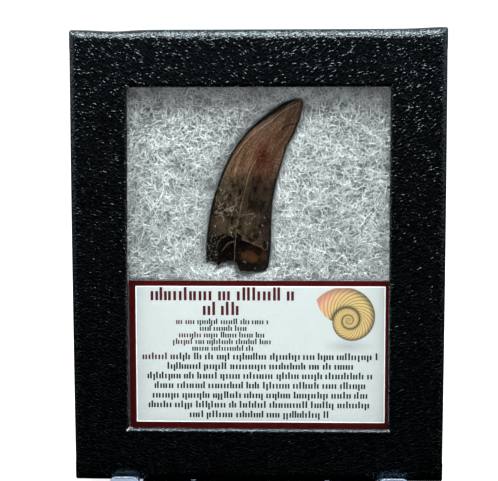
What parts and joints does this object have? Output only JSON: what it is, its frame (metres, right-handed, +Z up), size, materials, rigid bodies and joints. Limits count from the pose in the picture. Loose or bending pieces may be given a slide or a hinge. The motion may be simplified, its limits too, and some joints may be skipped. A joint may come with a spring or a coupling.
{
  "type": "framed fossil tyrannosaurus tooth",
  "caption": "Curved brown fossil tooth on white fibre batting with a printed card, behind glass in a black board display case that leans on a clear easel.",
  "frame": {"origin": "on the standing surface, at the middle of the footprint", "axes": "+Z up, -Y towards the viewer of the window, +X to the viewer's right"},
  "size_m": [0.1158, 0.0846, 0.1434],
  "materials": {
    "case_covering": "satin",
    "tray_covering": "matte",
    "window_glass": "polished",
    "batting": "matte",
    "fossil": "gloss",
    "card": "satin",
    "pin_steel": "gloss",
    "clear_acrylic": "polished"
  },
  "bodies": {
    "root": {"lid": "case_covering", "base_tray": "tray_covering", "glass_pane": "window_glass", "fibre_batting": "batting", "tooth": "fossil", "label_card": "card", "pin_left_low": "pin_steel", "pin_left_high": "pin_steel", "pin_right_low": "pin_steel", "pin_right_high": "pin_steel", "display_easel": "clear_acrylic"}
  },
  "joints": []
}
